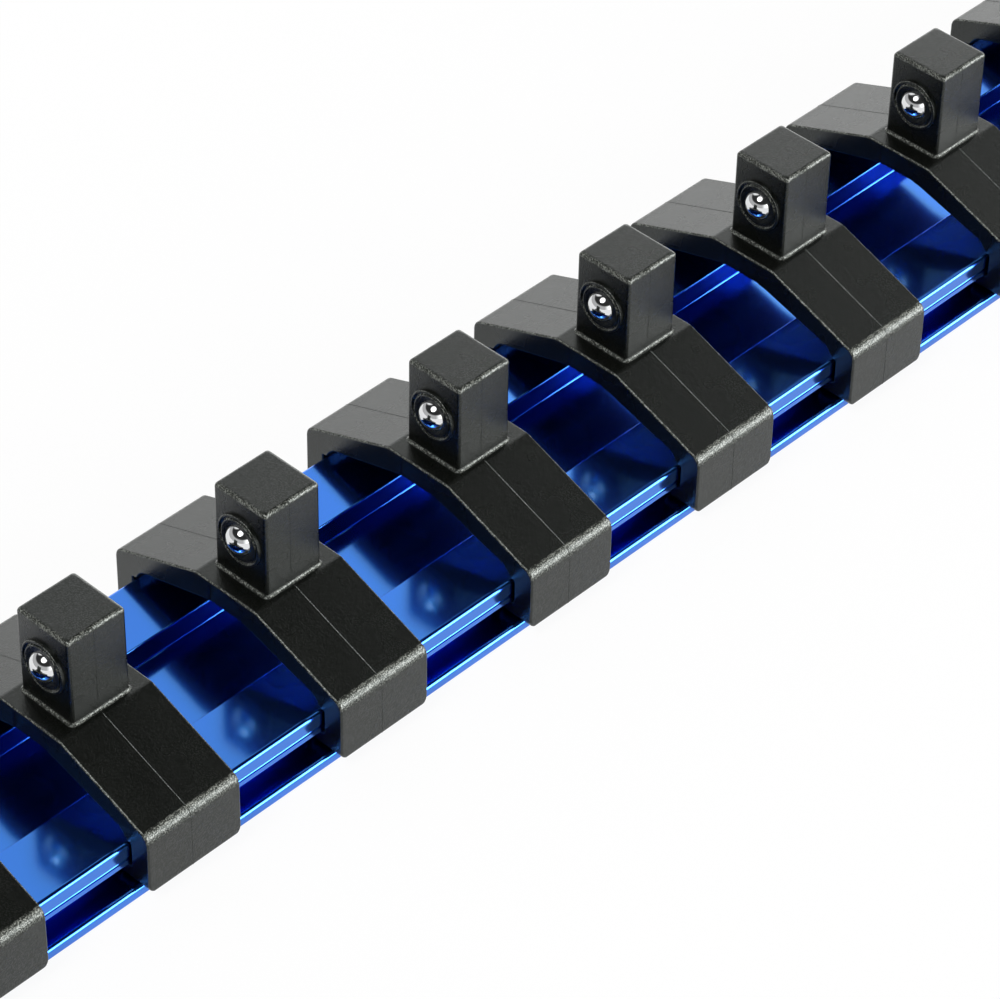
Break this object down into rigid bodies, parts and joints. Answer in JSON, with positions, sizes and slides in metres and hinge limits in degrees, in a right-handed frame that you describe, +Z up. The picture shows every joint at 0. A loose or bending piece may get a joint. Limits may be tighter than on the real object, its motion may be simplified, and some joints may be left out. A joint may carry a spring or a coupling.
{
  "type": "socket rail",
  "caption": "Blue anodised aluminium rail with sliding black plastic clips, each with a square drive post and a sprung ball that holds one socket.",
  "frame": {"origin": "centre of the rail's underside", "axes": "+X along the rail, away from the side of the posts that carries the balls; +Y across the rail; +Z up, along the drive posts"},
  "size_m": [0.408, 0.0406, 0.03],
  "materials": {
    "anodised_aluminium": "bright-dipped and anodised blue, mirror-like",
    "clip_plastic": "moulded black plastic with a fine satin grain",
    "cap_plastic": "moulded black plastic with a fine satin grain",
    "ball_steel": "polished steel ball",
    "spring_wire": "drawn spring wire"
  },
  "bodies": {
    "rail_body": {"rail": "anodised_aluminium", "end_cap_left": "cap_plastic", "end_cap_right": "cap_plastic"},
    "clip_body_01": {"clip_01": "clip_plastic", "spring_01": "spring_wire"},
    "ball_body_01": {"ball_01": "ball_steel"},
    "clip_body_02": {"clip_02": "clip_plastic", "spring_02": "spring_wire"},
    "ball_body_02": {"ball_02": "ball_steel"},
    "clip_body_03": {"clip_03": "clip_plastic", "spring_03": "spring_wire"},
    "ball_body_03": {"ball_03": "ball_steel"},
    "clip_body_04": {"clip_04": "clip_plastic", "spring_04": "spring_wire"},
    "ball_body_04": {"ball_04": "ball_steel"},
    "clip_body_05": {"clip_05": "clip_plastic", "spring_05": "spring_wire"},
    "ball_body_05": {"ball_05": "ball_steel"},
    "clip_body_06": {"clip_06": "clip_plastic", "spring_06": "spring_wire"},
    "ball_body_06": {"ball_06": "ball_steel"},
    "clip_body_07": {"clip_07": "clip_plastic", "spring_07": "spring_wire"},
    "ball_body_07": {"ball_07": "ball_steel"},
    "clip_body_08": {"clip_08": "clip_plastic", "spring_08": "spring_wire"},
    "ball_body_08": {"ball_08": "ball_steel"},
    "clip_body_09": {"clip_09": "clip_plastic", "spring_09": "spring_wire"},
    "ball_body_09": {"ball_09": "ball_steel"},
    "clip_body_10": {"clip_10": "clip_plastic", "spring_10": "spring_wire"},
    "ball_body_10": {"ball_10": "ball_steel"},
    "clip_body_11": {"clip_11": "clip_plastic", "spring_11": "spring_wire"},
    "ball_body_11": {"ball_11": "ball_steel"},
    "clip_body_12": {"clip_12": "clip_plastic", "spring_12": "spring_wire"},
    "ball_body_12": {"ball_12": "ball_steel"}
  },
  "joints": [
    {"name": "clip_slide_01", "type": "slide", "parent": "rail_body", "child": "clip_body_01", "axis": [1, 0, 0], "range_m": [-0.01588, 0.00788]},
    {"name": "ball_press_01", "type": "slide", "parent": "clip_body_01", "child": "ball_body_01", "axis": [1, 0, 0], "range_m": [0, 0.00125], "stiffness_N_per_m": 1500, "springref_m": -0.001, "deforming": ["spring_01"]},
    {"name": "clip_slide_02", "type": "slide", "parent": "rail_body", "child": "clip_body_02", "axis": [1, 0, 0], "range_m": [-0.00787, 0.01058]},
    {"name": "ball_press_02", "type": "slide", "parent": "clip_body_02", "child": "ball_body_02", "axis": [1, 0, 0], "range_m": [0, 0.00125], "stiffness_N_per_m": 1500, "springref_m": -0.001, "deforming": ["spring_02"]},
    {"name": "clip_slide_03", "type": "slide", "parent": "rail_body", "child": "clip_body_03", "axis": [1, 0, 0], "range_m": [-0.01057, 0.00767]},
    {"name": "ball_press_03", "type": "slide", "parent": "clip_body_03", "child": "ball_body_03", "axis": [1, 0, 0], "range_m": [0, 0.00125], "stiffness_N_per_m": 1500, "springref_m": -0.001, "deforming": ["spring_03"]},
    {"name": "clip_slide_04", "type": "slide", "parent": "rail_body", "child": "clip_body_04", "axis": [1, 0, 0], "range_m": [-0.00768, 0.0082]},
    {"name": "ball_press_04", "type": "slide", "parent": "clip_body_04", "child": "ball_body_04", "axis": [1, 0, 0], "range_m": [0, 0.00125], "stiffness_N_per_m": 1500, "springref_m": -0.001, "deforming": ["spring_04"]},
    {"name": "clip_slide_05", "type": "slide", "parent": "rail_body", "child": "clip_body_05", "axis": [1, 0, 0], "range_m": [-0.0082, 0.00905]},
    {"name": "ball_press_05", "type": "slide", "parent": "clip_body_05", "child": "ball_body_05", "axis": [1, 0, 0], "range_m": [0, 0.00125], "stiffness_N_per_m": 1500, "springref_m": -0.001, "deforming": ["spring_05"]},
    {"name": "clip_slide_06", "type": "slide", "parent": "rail_body", "child": "clip_body_06", "axis": [1, 0, 0], "range_m": [-0.00905, 0.00797]},
    {"name": "ball_press_06", "type": "slide", "parent": "clip_body_06", "child": "ball_body_06", "axis": [1, 0, 0], "range_m": [0, 0.00125], "stiffness_N_per_m": 1500, "springref_m": -0.001, "deforming": ["spring_06"]},
    {"name": "clip_slide_07", "type": "slide", "parent": "rail_body", "child": "clip_body_07", "axis": [1, 0, 0], "range_m": [-0.00797, 0.0078]},
    {"name": "ball_press_07", "type": "slide", "parent": "clip_body_07", "child": "ball_body_07", "axis": [1, 0, 0], "range_m": [0, 0.00125], "stiffness_N_per_m": 1500, "springref_m": -0.001, "deforming": ["spring_07"]},
    {"name": "clip_slide_08", "type": "slide", "parent": "rail_body", "child": "clip_body_08", "axis": [1, 0, 0], "range_m": [-0.0078, 0.00865]},
    {"name": "ball_press_08", "type": "slide", "parent": "clip_body_08", "child": "ball_body_08", "axis": [1, 0, 0], "range_m": [0, 0.00125], "stiffness_N_per_m": 1500, "springref_m": -0.001, "deforming": ["spring_08"]},
    {"name": "clip_slide_09", "type": "slide", "parent": "rail_body", "child": "clip_body_09", "axis": [1, 0, 0], "range_m": [-0.00865, 0.01098]},
    {"name": "ball_press_09", "type": "slide", "parent": "clip_body_09", "child": "ball_body_09", "axis": [1, 0, 0], "range_m": [0, 0.00125], "stiffness_N_per_m": 1500, "springref_m": -0.001, "deforming": ["spring_09"]},
    {"name": "clip_slide_10", "type": "slide", "parent": "rail_body", "child": "clip_body_10", "axis": [1, 0, 0], "range_m": [-0.01098, 0.0081]},
    {"name": "ball_press_10", "type": "slide", "parent": "clip_body_10", "child": "ball_body_10", "axis": [1, 0, 0], "range_m": [0, 0.00125], "stiffness_N_per_m": 1500, "springref_m": -0.001, "deforming": ["spring_10"]},
    {"name": "clip_slide_11", "type": "slide", "parent": "rail_body", "child": "clip_body_11", "axis": [1, 0, 0], "range_m": [-0.0081, 0.00805]},
    {"name": "ball_press_11", "type": "slide", "parent": "clip_body_11", "child": "ball_body_11", "axis": [1, 0, 0], "range_m": [0, 0.00125], "stiffness_N_per_m": 1500, "springref_m": -0.001, "deforming": ["spring_11"]},
    {"name": "clip_slide_12", "type": "slide", "parent": "rail_body", "child": "clip_body_12", "axis": [1, 0, 0], "range_m": [-0.00805, 0.01567]},
    {"name": "ball_press_12", "type": "slide", "parent": "clip_body_12", "child": "ball_body_12", "axis": [1, 0, 0], "range_m": [0, 0.00125], "stiffness_N_per_m": 1500, "springref_m": -0.001, "deforming": ["spring_12"]}
  ]
}
